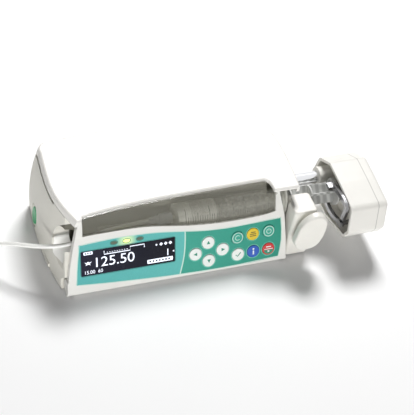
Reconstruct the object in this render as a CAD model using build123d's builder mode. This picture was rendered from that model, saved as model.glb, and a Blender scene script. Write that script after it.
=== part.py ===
"""Compact syringe infusion pump with a loaded 20 ml syringe and its infusion line.

Frame: X to the operator's right, Y to the back, Z up, millimetres. The origin is
the centre of the base, on the plane that the rubber feet stand on. The front door
leans back, so everything on it is placed on the DOOR plane, where local x is the
model's X and local y is the distance up the slope.
"""
from math import atan2, cos, degrees, pi, radians, sin, tan
import os

from build123d import *

os.makedirs("parts", exist_ok=True)

# ---------------------------------------------------------------- driving sizes
CASE_TOP = 68.0            # height of the casing above the table
CASE_FLOOR = 1.0           # underside of the casing, above the table
COVER_SEAM = 61.8          # top cover starts here
WALL = 2.5                 # casing wall
CAP_X = -86.0              # inner plane of the left end cap
DOOR_LEAN = 24.0           # door leans back from the vertical, degrees
DOOR_FRONT_Y = -56.0
DOOR_BOTTOM_Z = 2.0
DOOR_WALL = 2.5            # front wall of the door moulding
PILLAR_DEPTH = 5.0         # depth of the door's rim and pillars
BAY_DEPTH = 9.5            # depth of the electronics bay in the door
HINGE_Y, HINGE_Z = -48.6, 7.5
HINGE_PIN_R = 1.25
OVERLAY_T = 0.5
KEY_R = 5.3
KEY_GAP = 0.3
KEY_PROUD = 0.7
KEY_DEPTH = 4.2
LCD = (-84.0, -5.5, 17.0, 38.5)

SYR_Y, SYR_Z = -22.0, 40.0 # syringe axis
BARREL_R, BARREL_BORE = 10.75, 9.6
BARREL_X0, BARREL_X1 = 0.0, 92.3
STOPPER_X0, STOPPER_X1 = 33.0, 43.0
ROD_X1, THUMB_X1 = 140.0, 142.0

TUBE_Y, TUBE_Z, TUBE_R = -1.7, 38.0, 5.5
TUBE_X0, TUBE_X1 = -12.0, 152.0
SCREW_Y, SCREW_Z, SCREW_R = 16.0, 39.0, 3.0
GUIDE_Y, GUIDE_Z, GUIDE_R = 8.0, 20.0, 2.5
GEAR_MODULE, GEAR_TEETH, PINION_TEETH = 0.8, 30, 10
MOTOR_Z = SCREW_Z - GEAR_MODULE * (GEAR_TEETH + PINION_TEETH) / 2

HEAD_X0, HEAD_SPLIT, HEAD_X1 = 140.0, 165.0, 174.0
CLAW_Y, CLAW_Z = -50.5, 32.0
HOLDER_X, HOLDER_Z = 104.5, 29.0
LINE_R = 1.7               # infusion line radius
LINE_LENGTH = 1500.0

c, s = cos(radians(DOOR_LEAN)), sin(radians(DOOR_LEAN))
DOOR = Plane(origin=(0, DOOR_FRONT_Y, DOOR_BOTTOM_Z), x_dir=(1, 0, 0), z_dir=(0, -c, s))


def on_door(u, depth):
    """Y and Z of the point at slope distance u and the given depth behind the door face."""
    return (DOOR_FRONT_Y + s * u + c * depth, DOOR_BOTTOM_Z + c * u - s * depth)


def door_at(depth):
    return DOOR.offset(-depth)


def save(builder, name):
    builder.part.label = name
    export_step(builder.part, "parts/" + name + ".step")


# ---------------------------------------------------------------- casing envelope
LOW = dict(
    left=[(-94.8, -56), (-100.3, -22), (-101.6, 3), (-100.8, 24), (-98.2, 45)],
    bl=(-96.6, 50.6), back=[(-92.2, 53.2), (0, 58.0), (90, 55.0)], br=(94.4, 52.4),
    right=[(96.5, 46), (100.5, 25), (101.2, -10), (100, -34), (97, -56)],
)
MID = dict(
    left=[(-92.0, -56), (-98.6, -22), (-101.4, 3), (-101.6, 24), (-99.6, 46.5)],
    bl=(-98.0, 52.4), back=[(-93.4, 55.2), (0, 60.0), (91, 57.0)], br=(95.4, 54.2),
    right=[(97.4, 47.5), (101, 25), (101.8, -10), (100.4, -34), (97, -56)],
)
HIGH = dict(
    left=[(-80, -52), (-89, -34), (-93.7, -22), (-97.4, -7), (-98.1, 16), (-95.6, 43)],
    bl=(-94.2, 50.4), back=[(-89.5, 53.6), (0, 59), (88, 56.5)], br=(92.2, 53.0),
    right=[(94.5, 46), (101, 25), (102, -10), (100, -34), (96, -52)],
)


def shrink(points, dx, dy):
    return [(x + dx, y + dy) for x, y in points]


def plan(z, shape, k):
    """Closed plan outline at height z, with its sides drawn in by k."""
    left = shrink(shape["left"], k, 0)
    right = shrink(shape["right"], -k, 0)
    back = shrink(shape["back"], 0, -k)
    left[-1] = (left[-1][0], left[-1][1] - k * 0.5)
    right[0] = (right[0][0], right[0][1] - k * 0.5)
    back[0] = (back[0][0] + k * 0.6, back[0][1])
    back[-1] = (back[-1][0] - k * 0.6, back[-1][1])
    bl = (shape["bl"][0] + k * 0.8, shape["bl"][1] - k * 0.8)
    br = (shape["br"][0] - k * 0.8, shape["br"][1] - k * 0.8)
    with BuildSketch(Plane.XY.offset(z)) as sk:
        with BuildLine():
            Spline(*left)
            ThreePointArc(left[-1], bl, back[0])
            ThreePointArc(*back)
            ThreePointArc(back[-1], br, right[0])
            Spline(*right)
            Line(right[-1], left[0])
        make_face()
    return sk.sketch


def envelope(k, z0, z1):
    """Solid inside the casing outline drawn in by k, between two heights."""
    with BuildPart() as env:
        add(plan(z0, LOW, k))
        add(plan(26.0, MID, k))
        add(plan(z1, HIGH, k))
        loft()
    return env.part


OUTER = envelope(0, CASE_FLOOR, CASE_TOP)
INNER = envelope(WALL, CASE_FLOOR + WALL, CASE_TOP - WALL)
INNER_CAP = envelope(4.0, CASE_FLOOR + WALL, CASE_TOP - WALL)
GROOVE_CORE = envelope(2.6, CASE_FLOOR, CASE_TOP)

# wedge in front of the slanted plane where the body meets the door
with BuildPart() as front_wedge:
    with BuildSketch(Plane.YZ.offset(-130)):
        y0, z0 = on_door(-12, PILLAR_DEPTH + 0.3)
        y1, z1 = on_door(90, PILLAR_DEPTH + 0.3)
        Polygon((y0, z0), (y1, z1), (-140, z1), (-140, z0), align=None)
    extrude(amount=260)

# cylinder swept by the door's lower lip as it opens
with BuildPart() as lip_sweep:
    with BuildSketch(Plane.YZ.offset(-130)):
        with Locations((HINGE_Y, HINGE_Z)):
            Circle(7.9)
    extrude(amount=260)

# plan region in front of the top cover: the window's arc and the corner beside it
with BuildPart() as cover_front:
    with BuildSketch(Plane.XY.offset(50)):
        with BuildLine():
            Polyline((-125, -90), (-125, -35.5), (-84.5, -35.5), (-82.3, -31.2))
            Spline((-82.3, -31.2), (-50, -26.5), (0, -23.5), (50, -22), (71.5, -21.6))
            Spline((71.5, -21.6), (76, -24), (77.3, -29), (77.5, -35.0))
            Polyline((77.5, -35.0), (125, -35.0), (125, -90), (-125, -90))
        make_face()
    extrude(amount=30)

# ---------------------------------------------------------------- top cover
with BuildPart() as top_cover:
    add(OUTER)
    add(INNER, mode=Mode.SUBTRACT)
    with Locations((0, 0, COVER_SEAM - 50)):
        Box(300, 300, 100, mode=Mode.SUBTRACT)
    add(cover_front.part, mode=Mode.SUBTRACT)
    # skirt behind the window arc and over the syringe holder
    rim = top_cover.edges().filter_by_position(Axis.Z, CASE_TOP - 0.01, CASE_TOP + 0.01)
    try:
        fillet(rim, 1.8)
    except Exception:
        print("top cover rim left sharp")
save(top_cover, "top_cover")

# ---------------------------------------------------------------- left end cap
LEAF = [(-41.5, 10.0), (-30.5, 14.0), (-23.5, 17.2), (-18.6, 21.5), (-16.2, 29), (-15.6, 37), (-17.4, 45), (-21.5, 51), (-27, 53.4)]
LEAF_FRONT = [(-27, 53.4), (-32.5, 52.2), (-34.0, 46), (-35.0, 35.0), (-37.4, 25.0), (-41.5, 10.0)]
LEAF_IN = [(-36.4, 31.0), (-30, 30.4), (-24, 30.6), (-18.6, 32.4), (-16.4, 36), (-16.0, 40), (-17.6, 45), (-21.5, 49), (-27, 50.6)]
LEAF_IN_FRONT = [(-27, 50.6), (-32.0, 49.6), (-34.0, 46), (-34.8, 42.0), (-35.4, 36.0), (-36.4, 31.0)]


def leaf(points, front, x):
    with BuildSketch(Plane.YZ.offset(x)) as sk:
        with BuildLine():
            Spline(*points)
            Spline(*front)
        make_face()
    return sk.sketch


with BuildPart() as scoop_cut:
    add(leaf(LEAF, LEAF_FRONT, -104))
    add(leaf(LEAF_IN, LEAF_IN_FRONT, -84))
    loft()

# rail groove along the cap's upper edge, open to the back
GROOVE = (OUTER - GROOVE_CORE) & (Pos(-95, 24, 60.6) * Box(30, 62, 2.4))

with BuildPart() as left_end_cap:
    add(OUTER)
    with Locations((CAP_X + 100, 0, 40)):
        Box(200, 300, 120, mode=Mode.SUBTRACT)
    add(INNER_CAP, mode=Mode.SUBTRACT)
    # solid throat round the line's opening
    with Locations((CAP_X - 7, -28, 31)):
        Box(14, 40, 56)
    add(OUTER, mode=Mode.INTERSECT)
    with Locations((-90, 0, COVER_SEAM - 0.2 + 50)):
        Box(60, 300, 100, mode=Mode.SUBTRACT)
    add(front_wedge.part, mode=Mode.SUBTRACT)
    add(lip_sweep.part, mode=Mode.SUBTRACT)
    add(scoop_cut.part, mode=Mode.SUBTRACT)
    add(GROOVE, mode=Mode.SUBTRACT)
    # shallow dish and hole of the lock release button
    with BuildSketch(Plane.YZ.offset(-105)):
        with Locations((25.0, 14.5)):
            Ellipse(7.6, 11.6)
    extrude(amount=4.6, mode=Mode.SUBTRACT)
    with BuildSketch(Plane.YZ.offset(-105)):
        with Locations((25.0, 14.5)):
            Ellipse(5.7, 9.3)
    extrude(amount=19, mode=Mode.SUBTRACT)
    # foot of the stacking rail, at the lower edge
    with Locations((-99.4, -9.0, 3.2)):
        Box(4.4, 22, 3.4)
    # hinge lug
    with BuildSketch(Plane.YZ.offset(-92.9)):
        with Locations((HINGE_Y, HINGE_Z)):
            Circle(2.5)
        Polygon((HINGE_Y, HINGE_Z - 2.0), (HINGE_Y, HINGE_Z + 2.5), (-34, HINGE_Z + 2.5),
                (-34, 1.4), (-40.2, 1.4), (-40.2, HINGE_Z - 2.0), align=None)
    extrude(amount=2.3)
    with BuildSketch(Plane.YZ.offset(-92.9)):
        with Locations((HINGE_Y, HINGE_Z)):
            Circle(HINGE_PIN_R)
    extrude(amount=2.3, mode=Mode.SUBTRACT)
save(left_end_cap, "left_end_cap")

# ---------------------------------------------------------------- base shell
SCREWS = [(-70, 2, CASE_FLOOR), (70, 2, CASE_FLOOR), (-70, -14, CASE_FLOOR), (76, -14, CASE_FLOOR)]

with BuildPart() as base_shell:
    add(OUTER)
    add(INNER, mode=Mode.SUBTRACT)
    with Locations((0, 0, COVER_SEAM - 0.2 + 50)):
        Box(300, 300, 100, mode=Mode.SUBTRACT)
    with Locations((CAP_X - 100, 0, 40)):
        Box(200, 300, 120, mode=Mode.SUBTRACT)
    # front is open for the door; the floor stops behind the lip's sweep
    with Locations((0, -80, 34)):
        Box(300, 80, 90, mode=Mode.SUBTRACT)
    add(front_wedge.part, mode=Mode.SUBTRACT)
    add(lip_sweep.part, mode=Mode.SUBTRACT)
    # right-hand wall stops behind the syringe holder
    with Locations((107, -47.8, 30)):
        Box(30, 40, 64, mode=Mode.SUBTRACT)
    # short wall that closes the corner behind the holder
    with Locations((94.9, -26.55, 11.5)):
        Box(8.0, 2.5, 18.0)
    # way out for the plunger rod
    with Locations((99, -22.0, 42.5)):
        Box(16, 25.4, 33, mode=Mode.SUBTRACT)
    # way out for the drive tube, with the seat of its bushing
    with BuildSketch(Plane.YZ.offset(92)):
        with Locations((TUBE_Y, TUBE_Z)):
            Circle(7.0)
    extrude(amount=14, mode=Mode.SUBTRACT)
    # hinge lugs
    with BuildSketch(Plane.YZ.offset(88.6)):
        with Locations((HINGE_Y, HINGE_Z)):
            Circle(2.5)
        Polygon((HINGE_Y, HINGE_Z - 2.0), (HINGE_Y, HINGE_Z + 2.5), (-34, HINGE_Z + 2.5),
                (-34, 1.4), (-40.2, 1.4), (-40.2, HINGE_Z - 2.0), align=None)
    extrude(amount=2.4)
    with BuildSketch(Plane.YZ.offset(88.6)):
        with Locations((HINGE_Y, HINGE_Z)):
            Circle(HINGE_PIN_R)
    extrude(amount=2.4, mode=Mode.SUBTRACT)
    # battery hatch in the floor
    with Locations((45, 35, 2.2)):
        Box(84, 22, 8, mode=Mode.SUBTRACT)
    # pocket of the rear plate
    with Locations((0, 58.5, 33)):
        Box(64, 8, 40, mode=Mode.SUBTRACT)
    # rear sockets
    with Locations((-62, 55, 24)):
        Box(36, 14, 14, mode=Mode.SUBTRACT)
    # screw holes in the floor
    with Locations(*SCREWS):
        Cylinder(1.6, 12, mode=Mode.SUBTRACT)
    with Locations(*SCREWS):
        Cylinder(3.0, 3.2, mode=Mode.SUBTRACT)
save(base_shell, "base_shell")

with BuildPart() as rear_plate:
    with Locations((0, 57.2, 33)):
        Box(63.6, 4.4, 39.6)
    fillet(rear_plate.edges().filter_by(Axis.Y), 4)
    with Locations((0, 54.2, 33)):
        Box(70, 2.4, 46)                          # flange behind the casing wall
    with Locations(Location((-20, 58, 33), (90, 0, 0)), Location((20, 58, 33), (90, 0, 0))):
        Cylinder(2.1, 20, mode=Mode.SUBTRACT)
save(rear_plate, "rear_plate")

with BuildPart() as battery_cover:
    with Locations((45, 35, CASE_FLOOR + 1.25)):
        Box(83.6, 21.6, 2.5)
    with Locations((45, 26.4, CASE_FLOOR + 0.4)):
        Box(14, 1.6, 0.9, mode=Mode.SUBTRACT)
save(battery_cover, "battery_cover")

with BuildPart() as rubber_feet:
    with Locations((-80, -32, 0.5), (80, -32, 0.5), (-80, 44, 0.5), (93, 44, 0.5), (0, 0, 0.5)):
        Cylinder(4.5, CASE_FLOOR)
save(rubber_feet, "rubber_feet")

with BuildPart() as housing_screws:
    with Locations(*[(x, y, z + 0.3) for x, y, z in SCREWS]):
        Cylinder(2.8, 1.3, align=(Align.CENTER, Align.CENTER, Align.MIN))
        Cylinder(1.5, 5.0, align=(Align.CENTER, Align.CENTER, Align.MIN))
save(housing_screws, "housing_screws")

with BuildPart() as hinge_pins:
    for x0, x1 in ((-92.9, -81.4), (84.4, 91.0)):
        with BuildSketch(Plane.YZ.offset(x0)):
            with Locations((HINGE_Y, HINGE_Z)):
                Circle(HINGE_PIN_R)
        extrude(amount=x1 - x0)
save(hinge_pins, "hinge_pins")

# ---------------------------------------------------------------- chassis
with BuildPart() as chassis:
    with Locations((3.5, 14.5, 4.7)):
        Box(173, 69.4, 2.2)                       # floor plate
    with Locations((45, 35, 4.7)):
        Box(86, 24, 4, mode=Mode.SUBTRACT)        # room for the battery
    with Locations((3.5, -9.4, 32.9)):
        Box(173, 2.4, 56.6)                       # wall between syringe bay and drive
    with Locations((14, -18.8, 27.3)):
        Box(148, 16.4, 2.6)                       # shelf under the barrel
    with Locations((-27, 11, 30)):
        Box(4, 38.4, 50)                          # left bearing wall
    with Locations((-38.5, 11, 30)):
        Box(3, 38.4, 50)                          # motor wall
    with Locations((88, 11, 32)):
        Box(4, 38.4, 54)                          # right bearing wall
    with BuildSketch(Plane.YZ.offset(80)):
        with Locations((TUBE_Y, TUBE_Z)):
            Circle(TUBE_R + 0.5)
        with Locations((SCREW_Y, SCREW_Z)):
            Circle(6.0)
        with Locations((GUIDE_Y, GUIDE_Z)):
            Circle(GUIDE_R)
    extrude(amount=14, mode=Mode.SUBTRACT)
    with BuildSketch(Plane.YZ.offset(-30)):
        with Locations((SCREW_Y, SCREW_Z)):
            Circle(6.0)
        with Locations((GUIDE_Y, GUIDE_Z)):
            Circle(GUIDE_R)
    extrude(amount=8, mode=Mode.SUBTRACT)
    with BuildSketch(Plane.YZ.offset(-42)):
        with Locations((SCREW_Y, MOTOR_Z)):
            Circle(3.2)
    extrude(amount=7, mode=Mode.SUBTRACT)
    # threaded bosses over the floor screws
    with Locations(*SCREWS):
        Cylinder(1.5, 16, mode=Mode.SUBTRACT)
save(chassis, "chassis")

with BuildPart() as drive_bushing:
    with BuildSketch(Plane.YZ.offset(95.5)):
        with Locations((TUBE_Y, TUBE_Z)):
            Circle(7.0)
            Circle(TUBE_R + 0.06, mode=Mode.SUBTRACT)
    extrude(amount=6.5)
save(drive_bushing, "drive_bushing")

with BuildPart() as guide_rod:
    with BuildSketch(Plane.YZ.offset(-29)):
        with Locations((GUIDE_Y, GUIDE_Z)):
            Circle(GUIDE_R)
    extrude(amount=119)
save(guide_rod, "guide_rod")

with BuildPart() as screw_bearings:
    for x0 in (-29, 86):
        with BuildSketch(Plane.YZ.offset(x0)):
            with Locations((SCREW_Y, SCREW_Z)):
                Circle(6.0)
                Circle(SCREW_R + 0.04, mode=Mode.SUBTRACT)
        extrude(amount=4)
save(screw_bearings, "screw_bearings")

with BuildPart() as gear_motor:
    with BuildSketch(Plane.YZ.offset(-76)):
        with Locations((SCREW_Y, MOTOR_Z)):
            Circle(12.0)
    extrude(amount=24)
    with BuildSketch(Plane.YZ.offset(-52)):
        with Locations((SCREW_Y, MOTOR_Z)):
            RectangleRounded(21, 21, 3)
    extrude(amount=12)
    with BuildSketch(Plane.YZ.offset(-40)):
        with Locations((SCREW_Y, MOTOR_Z)):
            Circle(3.1)
    extrude(amount=2.5)
    with BuildSketch(Plane.YZ.offset(-46)):
        with Locations((SCREW_Y, MOTOR_Z)):
            Circle(1.56)
    extrude(amount=9, mode=Mode.SUBTRACT)
save(gear_motor, "gear_motor")


def gear_sketch(plane, teeth, phase, centre):
    """Straight-flanked teeth, thinned for a running clearance."""
    rp = GEAR_MODULE * teeth / 2
    root, tip = rp - GEAR_MODULE * 1.15, rp + GEAR_MODULE * 0.75
    step = 2 * pi / teeth
    pts = []
    for i in range(teeth):
        a = phase + i * step
        for r, da in ((root, -0.30), (tip, -0.11), (tip, 0.11), (root, 0.30)):
            t = a + da * step
            pts.append((centre[0] + r * cos(t), centre[1] + r * sin(t)))
    with BuildSketch(plane) as sk:
        Polygon(*pts, align=None)
    return sk.sketch


with BuildPart() as lead_screw:
    with BuildSketch(Plane.YZ.offset(-36.6)):
        with Locations((SCREW_Y, SCREW_Z)):
            Circle(SCREW_R)
    extrude(amount=127.6)
save(lead_screw, "lead_screw")

with BuildPart() as screw_gear:
    extrude(gear_sketch(Plane.YZ.offset(-36), GEAR_TEETH, -pi / 2, (SCREW_Y, SCREW_Z)), amount=5)
    with BuildSketch(Plane.YZ.offset(-36)):
        with Locations((SCREW_Y, SCREW_Z)):
            Circle(SCREW_R)
    extrude(amount=5, mode=Mode.SUBTRACT)
save(screw_gear, "screw_gear")

with BuildPart() as motor_pinion:
    extrude(gear_sketch(Plane.YZ.offset(-36), PINION_TEETH, pi / 2 + pi / PINION_TEETH, (SCREW_Y, MOTOR_Z)), amount=5)
    with BuildSketch(Plane.YZ.offset(-45.5)):
        with Locations((SCREW_Y, MOTOR_Z)):
            Circle(1.5)
    extrude(amount=12)
save(motor_pinion, "motor_pinion")

# ---------------------------------------------------------------- electronics
with BuildPart() as main_board:
    with Locations((5, 48.2, 34)):
        Box(150, 1.6, 46)
    for x, z, w, h, t in ((-50, 40, 14, 14, 1.8), (-20, 44, 20, 8, 2.4), (20, 45, 10, 10, 1.6), (50, 42, 16, 6, 3.0), (70, 30, 6, 18, 2.4)):
        with Locations((x, 47.4 - t / 2, z)):
            Box(w, t, h)
save(main_board, "main_board")

with BuildPart() as battery_pack:
    with Locations((45, 34.6, 21.6)):
        Box(78, 17.6, 36)
    fillet(battery_pack.edges().filter_by(Axis.X), 5)
save(battery_pack, "battery_pack")

with BuildPart() as speaker:
    with Locations((-60, 38, 5.9)):
        Cylinder(8.0, 1.2, align=(Align.CENTER, Align.CENTER, Align.MIN))
        Cylinder(6.0, 5.0, align=(Align.CENTER, Align.CENTER, Align.MIN))
save(speaker, "speaker")

with BuildPart() as rear_sockets:
    for x, w in ((-71.5, 15), (-54.5, 15)):
        with Locations((x, 53.0, 24)):
            Box(w, 7, 13)
        with Locations((x, 55.5, 24)):
            Box(w - 5, 6, 8, mode=Mode.SUBTRACT)
save(rear_sockets, "rear_sockets")

# ---------------------------------------------------------------- front door
with BuildPart() as door_frame:
    with BuildSketch(DOOR):
        with BuildLine():
            Polyline((-96.4, -3), (-93, 25), (-90, 42), (-86, 60), (-85.2, 64.6), (-82, 64.6), (-82, 51.2))
            Spline((-82, 51.2), (-70, 51.6), (-60, 51.7), (-40, 51.7), (-20, 50), (0, 47), (20, 45),
                   (40, 44), (60, 44.3), (76, 45.6), (82, 46.8))
            Polyline((82, 46.8), (82, 64.6), (85.2, 64.6), (86, 60), (90, 42), (91.5, 22), (92.1, -3), (-96.4, -3))
        make_face()
    extrude(amount=-PILLAR_DEPTH)
    # flat underside, level with the table, with a rounded front lip
    with Locations((0, -50, CASE_FLOOR - 10)):
        Box(220, 60, 20, mode=Mode.SUBTRACT)
    lip = door_frame.edges().filter_by(Axis.X).sort_by(lambda e: e.center().Y + e.center().Z)[0]
    fillet(lip, 3.5)
    # hollow behind the front wall, between the pillars
    with BuildSketch(door_at(DOOR_WALL)):
        with BuildLine():
            Polyline((-88.2, 6), (-84.4, 40), (-82.1, 47), (-82.1, 60), (82.1, 60), (82.1, 41), (86.2, 38), (86.2, 6), (-88.2, 6))
        make_face()
    extrude(amount=-PILLAR_DEPTH, mode=Mode.SUBTRACT)
    # bay for the electronics
    with BuildSketch(door_at(DOOR_WALL)):
        with Locations((1.5, 21.75)):
            Rectangle(173.4, 31.5)
            Rectangle(169.4, 27.5, mode=Mode.SUBTRACT)
    extrude(amount=-(BAY_DEPTH - DOOR_WALL))
    # room for the syringe barrel behind the right pillar
    with BuildSketch(Plane.YZ.offset(-10)):
        with Locations((SYR_Y, SYR_Z)):
            Circle(BARREL_R + 0.5)
    extrude(amount=110, mode=Mode.SUBTRACT)
    # right pillar thinned towards its top, and the bay wall behind it cut back, clear of the plunger rod
    with BuildSketch(door_at(3.0)):
        with Locations((88, 57)):
            Rectangle(12, 22)
    extrude(amount=-12, mode=Mode.SUBTRACT)
    with Locations((91, -29, 36)):
        Box(9.6, 10, 20, mode=Mode.SUBTRACT)
    # cheek round the hinge axis, closing the notch at the lower left corner
    with BuildSketch(Plane.YZ.offset(-95.2)):
        with Locations((HINGE_Y, HINGE_Z)):
            Circle(6.4)
    extrude(amount=1.8)
    # hinge bosses
    for x0, x1 in ((-85.2, -81.0), (84.0, 88.2)):
        with BuildSketch(Plane.YZ.offset(x0)):
            with Locations((HINGE_Y, HINGE_Z)):
                Circle(2.8)
        extrude(amount=x1 - x0)
    # pockets for the body's hinge lugs
    for x0, x1 in ((-93.3, -90.2), (88.2, 91.4)):
        with BuildSketch(door_at(1.5)):
            with Locations(((x0 + x1) / 2, 6)):
                Rectangle(x1 - x0, 18)
        extrude(amount=-14, mode=Mode.SUBTRACT)
    # bores for the hinge pins
    for x0, x1 in ((-93.3, -81.0), (84.0, 91.4)):
        with BuildSketch(Plane.YZ.offset(x0)):
            with Locations((HINGE_Y, HINGE_Z)):
                Circle(HINGE_PIN_R + 0.05)
        extrude(amount=x1 - x0, mode=Mode.SUBTRACT)
    # flush outside again after the cheek and bosses
    with BuildSketch(DOOR):
        with Locations((0, 20)):
            Rectangle(240, 160)
    extrude(amount=20, mode=Mode.SUBTRACT)
    # recess for the keypad overlay
    with BuildSketch(DOOR):
        with BuildLine():
            Polyline((-85.5, 44.5), (-88.5, 11), (-88, 10))
            Spline((-88, 10), (-60, 7.5), (-20, 5), (0, 4.2), (40, 3.6), (85, 5.4))
            Polyline((85, 5.4), (88, 20), (88, 30), (87, 40.5))
            Spline((87, 40.5), (60, 39.5), (40, 39), (20, 40), (0, 42.5), (-20, 45), (-40, 46), (-60, 46), (-85.5, 44.5))
        make_face()
    extrude(amount=-OVERLAY_T, mode=Mode.SUBTRACT)
    # display opening
    with BuildSketch(DOOR):
        with Locations(((LCD[0] + LCD[1]) / 2, (LCD[2] + LCD[3]) / 2)):
            Rectangle(LCD[1] - LCD[0], LCD[3] - LCD[2])
    extrude(amount=-PILLAR_DEPTH, mode=Mode.SUBTRACT)
    # key holes
    KEYS = dict(key_up=(23, 28.5), key_left=(12, 20), key_right=(35.5, 20.5), key_down=(23.5, 12.5),
                key_clear=(48.5, 28.5), key_bolus=(62, 29.5), key_power=(76, 30), key_ok=(49, 13.5),
                key_info=(62.5, 14), key_start_stop=(76, 14))
    with BuildSketch(DOOR):
        with Locations(*KEYS.values()):
            Circle(KEY_R + KEY_GAP)
    extrude(amount=-PILLAR_DEPTH, mode=Mode.SUBTRACT)
    # light guides
    LIGHTS = ((-56.5, 42), (-46, 42), (-35, 42))
    with BuildSketch(DOOR):
        with Locations(*LIGHTS):
            Ellipse(2.6, 1.2)
    extrude(amount=-PILLAR_DEPTH, mode=Mode.SUBTRACT)
save(door_frame, "door_frame")

with BuildPart() as keypad_overlay:
    with BuildSketch(DOOR):
        with BuildLine():
            Polyline((-85.5, 44.5), (-88.5, 11), (-88, 10))
            Spline((-88, 10), (-60, 7.5), (-20, 5), (0, 4.2), (40, 3.6), (85, 5.4))
            Polyline((85, 5.4), (88, 20), (88, 30), (87, 40.5))
            Spline((87, 40.5), (60, 39.5), (40, 39), (20, 40), (0, 42.5), (-20, 45), (-40, 46), (-60, 46), (-85.5, 44.5))
        make_face()
        with Locations(((LCD[0] + LCD[1]) / 2, (LCD[2] + LCD[3]) / 2)):
            Rectangle(LCD[1] - LCD[0], LCD[3] - LCD[2], mode=Mode.SUBTRACT)
        with Locations(*KEYS.values()):
            Circle(KEY_R + KEY_GAP, mode=Mode.SUBTRACT)
        with Locations(*LIGHTS):
            Ellipse(2.6, 1.2, mode=Mode.SUBTRACT)
    extrude(amount=-OVERLAY_T)
save(keypad_overlay, "keypad_overlay")

with BuildPart() as display_glass:
    with BuildSketch(DOOR):
        with Locations(((LCD[0] + LCD[1]) / 2, (LCD[2] + LCD[3]) / 2)):
            Rectangle(LCD[1] - LCD[0], LCD[3] - LCD[2])
    extrude(amount=-1.2)
save(display_glass, "display_glass")

with BuildPart() as display_module:
    with BuildSketch(door_at(1.2)):
        with Locations((-44.4, 26.3)):
            Rectangle(77.0, 18.0)
    extrude(amount=-4.0)
save(display_module, "display_module")

with BuildPart() as status_lights:
    with BuildSketch(DOOR.offset(0.2)):
        with Locations(*LIGHTS):
            Ellipse(2.6, 1.2)
    extrude(amount=-4.0)
save(status_lights, "status_lights")

with BuildPart() as door_board:
    with BuildSketch(door_at(5.4)):
        with Locations((1.5, 23)):
            Rectangle(168, 24)
    extrude(amount=-1.6)
    with BuildSketch(door_at(4.9)):
        with Locations(*KEYS.values()):
            Circle(2.4)
    extrude(amount=-0.5)
save(door_board, "door_board")

with BuildPart() as door_back_cover:
    with BuildSketch(door_at(BAY_DEPTH)):
        with Locations((1.5, 21.5)):
            RectangleRounded(172.6, 29.5, 2)
    extrude(amount=-1.8)
    with BuildSketch(door_at(BAY_DEPTH)):
        with Locations((1.5, 21.75)):
            Rectangle(169.0, 27.1)
            Rectangle(166.0, 24.1, mode=Mode.SUBTRACT)
    extrude(amount=1.2)
save(door_back_cover, "door_back_cover")

# window: flat front on the door plane, then bent back up to the top cover's edge
with BuildPart() as door_window:
    with BuildSketch(door_at(0.5)):
        with BuildLine():
            Polyline((-82, 60), (-82, 51.2))
            Spline((-82, 51.2), (-70, 51.6), (-60, 51.7), (-40, 51.7), (-20, 50), (0, 47), (20, 45),
                   (40, 44), (60, 44.3), (76, 45.6), (82, 46.8))
            Polyline((82, 46.8), (82, 60), (-82, 60))
        make_face()
    extrude(amount=-2.0)

WIN_TOP = 67.0
by, bz = on_door(60, 0.5)
cy, cz = on_door(60, 2.5)


def window_section(x, y_top):
    with BuildSketch(Plane.YZ.offset(x)) as sk:
        Polygon((by, bz), (cy, cz - 0.6), (cy + 0.8, cz), (y_top + 0.9, WIN_TOP - 2.0),
                (y_top + 0.9, WIN_TOP), (y_top - 0.6, WIN_TOP), align=None)
    return sk.sketch


with BuildPart() as window_top:
    add(window_section(-82, -32.8))
    add(window_section(-50, -28.3))
    add(window_section(0, -25.3))
    add(window_section(50, -23.8))
    add(window_section(74.5, -23.6))
    loft()

with BuildPart() as window_all:
    add(door_window.part)
    add(window_top.part)
    # rounded end beside the cover's corner
    with BuildSketch(Plane.YZ.offset(74.5)):
        Polygon((by, bz), (cy, cz - 0.6), (cy + 0.8, cz), (-31.5, 61.3), (-33.0, 61.3), align=None)
    extrude(amount=7.5)

save(window_all, "door_window")

for name, at in KEYS.items():
    with BuildPart() as key:
        with BuildSketch(DOOR.offset(KEY_PROUD)):
            with Locations(at):
                Circle(KEY_R)
        extrude(amount=-(KEY_PROUD + KEY_DEPTH))
        front = key.faces().sort_by(lambda f: f.center().Y)[0]
        fillet(front.edges(), 0.5)
    save(key, name)

# ---------------------------------------------------------------- syringe
with BuildPart() as syringe_barrel:
    with BuildSketch(Plane.YZ.offset(BARREL_X0)):
        with Locations((SYR_Y, SYR_Z)):
            Circle(BARREL_R)
    extrude(amount=BARREL_X1 - BARREL_X0)
    with BuildSketch(Plane.YZ.offset(BARREL_X1)):
        with Locations((SYR_Y, SYR_Z)):
            Ellipse(11.2, 16.6)
    extrude(amount=1.8)
    with BuildSketch(Plane.YZ.offset(BARREL_X0)):
        with Locations((SYR_Y, SYR_Z)):
            Circle(2.0)
    extrude(amount=-9, taper=2)
    with BuildSketch(Plane.YZ.offset(2.0)):
        with Locations((SYR_Y, SYR_Z)):
            Circle(BARREL_BORE)
    extrude(amount=100, mode=Mode.SUBTRACT)
    with BuildSketch(Plane.YZ.offset(-12)):
        with Locations((SYR_Y, SYR_Z)):
            Circle(0.8)
    extrude(amount=16, mode=Mode.SUBTRACT)
save(syringe_barrel, "syringe_barrel")

with BuildPart() as syringe_stopper:
    with BuildSketch(Plane.YZ.offset(STOPPER_X0 + 2.5)):
        with Locations((SYR_Y, SYR_Z)):
            Circle(BARREL_BORE - 0.3)
    extrude(amount=STOPPER_X1 - STOPPER_X0 - 2.5)
    with BuildSketch(Plane.YZ.offset(STOPPER_X0 + 2.5)):
        with Locations((SYR_Y, SYR_Z)):
            Circle(BARREL_BORE - 0.3)
    extrude(amount=-2.5, taper=55)
save(syringe_stopper, "syringe_stopper")

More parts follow.
